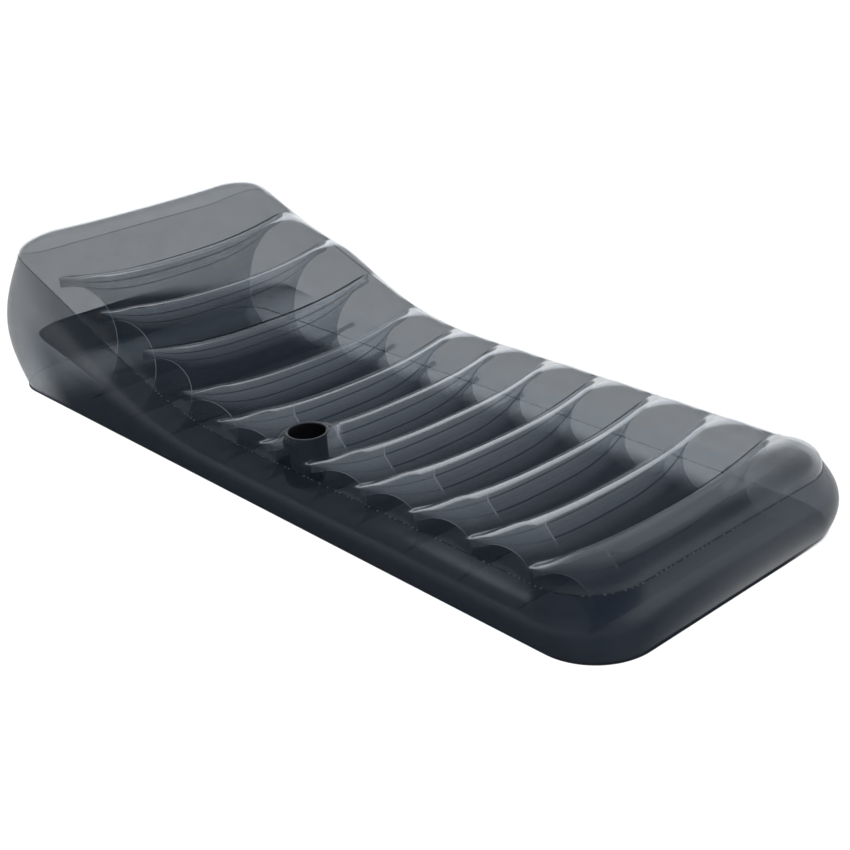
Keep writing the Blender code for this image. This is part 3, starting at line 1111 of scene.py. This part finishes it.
def makeLights():
    key = addLight("key", "SUN", studio["keyStrength"])
    key.data.angle = math.radians(studio["keySpread"])
    key.matrix_world = facing(Vector(studio["keyFrom"]))
    key.visible_glossy = False
    lamp = addLight("softbox", "AREA", studio["boxPower"])
    lamp.data.shape = "RECTANGLE"
    lamp.data.size, lamp.data.size_y = studio["boxSize"]
    lamp.data.color = studio["boxColour"]
    place = Vector(studio["boxFrom"])
    away = place - Vector(studio["boxTo"])
    lamp.matrix_world = Matrix.Translation(place) @ facing(away)
    lamp.visible_camera = False
    wallOnly = bpy.data.collections.new("wallOnly")
    wallOnly.objects.link(bpy.data.objects["sideWall"])
    lamp.light_linking.receiver_collection = wallOnly


def makeWorld():
    # The studio is bright behind the lounger and dark on the near side, and the camera sees white
    world = bpy.data.worlds.new("studio")
    bpy.context.scene.world = world
    world.use_nodes = True
    graph = Graph(world.node_tree)
    place = graph.node("ShaderNodeTexCoord").outputs["Generated"]
    split = graph.node("ShaderNodeSeparateXYZ", Vector=place)
    ramp = graph.node("ShaderNodeValToRGB")
    graph.feed(ramp.inputs[0], split.outputs["Z"])
    while len(ramp.color_ramp.elements) < len(studio["levels"]):
        ramp.color_ramp.elements.new(0.5)
    for element, (position, key) in zip(ramp.color_ramp.elements, studio["levels"]):
        element.position = position
        element.color = studio[key]
    start, end = studio["frontY"]
    near = graph.node(
        "ShaderNodeMapRange",
        Value=split.outputs["Y"],
        From_Min=start,
        From_Max=end,
        To_Min=studio["frontShare"],
    )
    glossy = graph.lightPath("Is Glossy Ray")
    fill = graph.node("ShaderNodeMapRange", Value=glossy, To_Min=studio["fillShare"])
    level = Maths(graph.tree, near.outputs[0]) * Maths(graph.tree, fill.outputs[0])
    shade = graph.mixColour(1, ramp.outputs[0], level, "MULTIPLY")
    seen = graph.mixColour(graph.lightPath("Is Camera Ray"), shade, (1, 1, 1, 1))
    graph.feed(graph.tree.nodes["Background"].inputs["Color"], seen)


print("camera and floor")
makeCamera()
makeFloor()

print("materials")
smoke = makeFilm("smokeFilm", film["topSpecular"], film["coatRoughness"])
wallSmoke = makeFilm("wallFilm", film["wallSpecular"], film["wallCoatRoughness"])
webSmoke = makeWebFilm()
black = makeOpaque("blackVinyl", opaque["black"], opaque["blackRoughness"])
ringGrey = makeOpaque("ringVinyl", opaque["ring"], opaque["ringRoughness"])
valveGrey = makeOpaque("valveVinyl", opaque["valve"], opaque["valveRoughness"])
cupBlack = makeCupFinish()
bottomSeamBlack = makeBottomSeamFinish()
topSeamPale = makeTopSeamFinish()

print("top sheet")
makeTopSheet(smoke)
print("side wall and bottom sheet")
makeSideWall(wallSmoke)
makeBottomSheet(smoke)
print("webs")
makeWebs(webSmoke)
print("cup holder")
makeCup(cupBlack, ringGrey)
print("seams and valve")
makeSeam("topSeam", 0.0, seams["topWidth"], topSeamPale)
makeSeam("bottomSeam", 1.0, seams["bottomWidth"], bottomSeamBlack)
paintValve(valveGrey, black)
print("lights")
makeLights()
makeWorld()
